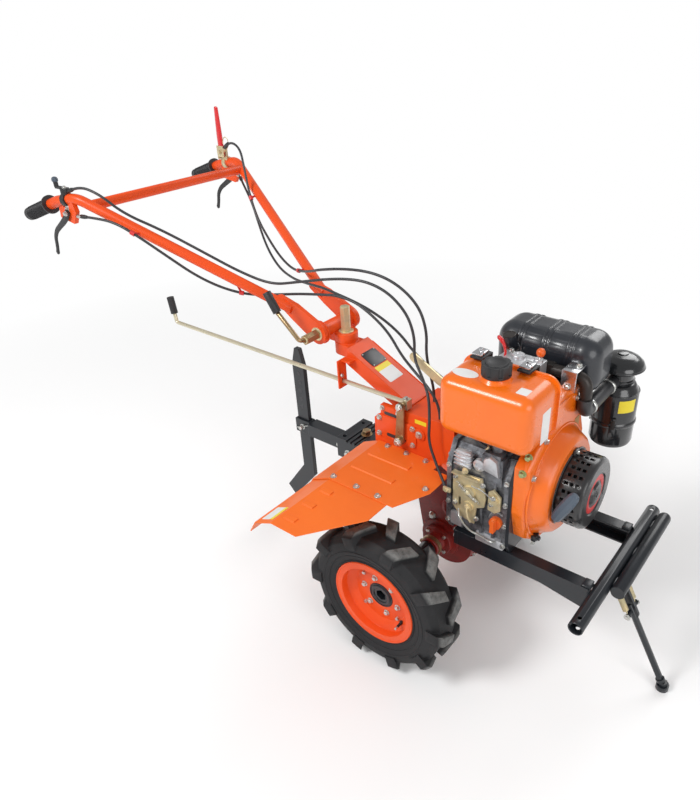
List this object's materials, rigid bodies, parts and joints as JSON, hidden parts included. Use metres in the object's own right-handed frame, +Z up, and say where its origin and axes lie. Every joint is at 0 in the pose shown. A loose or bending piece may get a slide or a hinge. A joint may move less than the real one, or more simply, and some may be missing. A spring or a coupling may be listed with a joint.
{
  "type": "power_tiller",
  "caption": "Walk-behind power tiller on two lugged tyres, with a diesel engine, fenders, long steerable handlebars, drag bar, front bumper and folding prop stand",
  "frame": {"origin": "On the floor, under the middle of the bounding box", "axes": "+X is the machine's front (bumper), +Y its left side, +Z up"},
  "size_m": [1.8915, 0.956, 1.1947],
  "materials": {
    "orange_paint": "semi-gloss powder coat",
    "engine_orange": "glossy enamel",
    "fender_orange": "satin powder coat",
    "black_paint": "semi-gloss powder coat",
    "gearbox_paint": "dark red paint on a rough casting",
    "engine_casting": "grey die casting",
    "silver_casting": "bright die casting",
    "zinc_yellow": "yellow zinc plate",
    "zinc_white": "white zinc plate",
    "tyre_rubber": "matt rubber",
    "black_plastic": "fine matt grain",
    "handle_plastic": "smooth blue-grey",
    "muffler_black": "heat-resistant semi-gloss black",
    "cleaner_black": "gloss black",
    "starter_black": "satin black",
    "red_plastic": "glossy",
    "orange_plastic": "satin",
    "cable_black": "smooth sheath",
    "brown_casting": "brown painted casting"
  },
  "bodies": {
    "chassis": {"gearbox_case": "gearbox_paint", "seal_flanges": "gearbox_paint", "clutch_housing": "orange_paint", "bell_housing": "orange_paint", "handle_column": "orange_paint", "pivot_pin": "zinc_white", "shift_rod": "zinc_white", "shift_grip": "black_plastic", "shift_lever": "zinc_yellow", "cable_strap": "zinc_yellow", "frame_beam_left": "black_paint", "frame_beam_right": "black_paint", "frame_rear_plate": "black_paint", "bumper_crossbar": "black_paint", "bumper_guard": "black_paint", "hitch_bracket": "black_paint", "hitch_arm": "black_paint", "fender_left": "fender_orange", "fender_right": "fender_orange", "crankcase": "engine_casting", "cylinder": "engine_casting", "rocker_cover": "silver_casting", "back_plate": "black_paint", "governor_plate": "zinc_yellow", "oil_plug": "orange_plastic", "fan_shroud": "engine_orange", "recoil_starter": "starter_black", "starter_handle": "handle_plastic", "fuel_tank": "engine_orange", "fuel_cap": "black_plastic", "tank_bracket": "black_paint", "muffler": "muffler_black", "air_cleaner_body": "cleaner_black", "air_cleaner_cap": "cleaner_black", "intake_elbow": "brown_casting", "intake_hose": "cable_black", "engine_levers": "red_plastic", "cables_front": "cable_black"},
    "right_wheel": {"tyre_right": "tyre_rubber", "rim_right": "orange_paint", "hub_right": "black_paint"},
    "left_wheel": {"tyre_left": "tyre_rubber", "rim_left": "orange_paint", "hub_left": "black_paint"},
    "stand": {"stand_leg": "black_paint", "stand_springs": "zinc_yellow"},
    "yoke": {"yoke": "orange_paint"},
    "drag_bar_body": {"drag_bar": "black_paint"},
    "handlebar": {"lock_crank": "zinc_yellow", "lock_grip": "black_plastic", "handle_tube_left": "orange_paint", "handle_tube_right": "orange_paint", "handle_crossbar": "orange_paint", "handle_grips": "black_plastic", "lever_brackets": "orange_paint", "brake_levers": "black_paint", "cables_rear": "cable_black", "clutch_bracket": "zinc_yellow", "clutch_lever": "red_plastic", "throttle_lever": "black_plastic"}
  },
  "joints": [
    {"name": "right_wheel_spin", "type": "hinge", "parent": "chassis", "child": "right_wheel", "pos_m": [0.309, -0.3, 0.205], "axis": [0, 1, 0], "continuous": true},
    {"name": "left_wheel_spin", "type": "hinge", "parent": "chassis", "child": "left_wheel", "pos_m": [0.309, 0.3, 0.205], "axis": [0, 1, 0], "continuous": true},
    {"name": "stand_fold", "type": "hinge", "parent": "chassis", "child": "stand", "pos_m": [0.77501, 0, 0.288], "axis": [0, 1, 0], "range_deg": [0, 115]},
    {"name": "handlebar_swivel", "type": "hinge", "parent": "chassis", "child": "yoke", "pos_m": [-0.026, 0, 0.7], "axis": [0, 0, 1], "range_deg": [-35, 35], "deforming": ["cables_front"]},
    {"name": "handlebar_tilt", "type": "hinge", "parent": "yoke", "child": "handlebar", "pos_m": [-0.06499, 0, 0.722], "axis": [0, 1, 0], "range_deg": [-12, 20], "deforming": ["cables_rear"]},
    {"name": "drag_bar_slide", "type": "slide", "parent": "chassis", "child": "drag_bar_body", "axis": [0, 0, 1], "range_m": [-0.045, 0.1]}
  ]
}
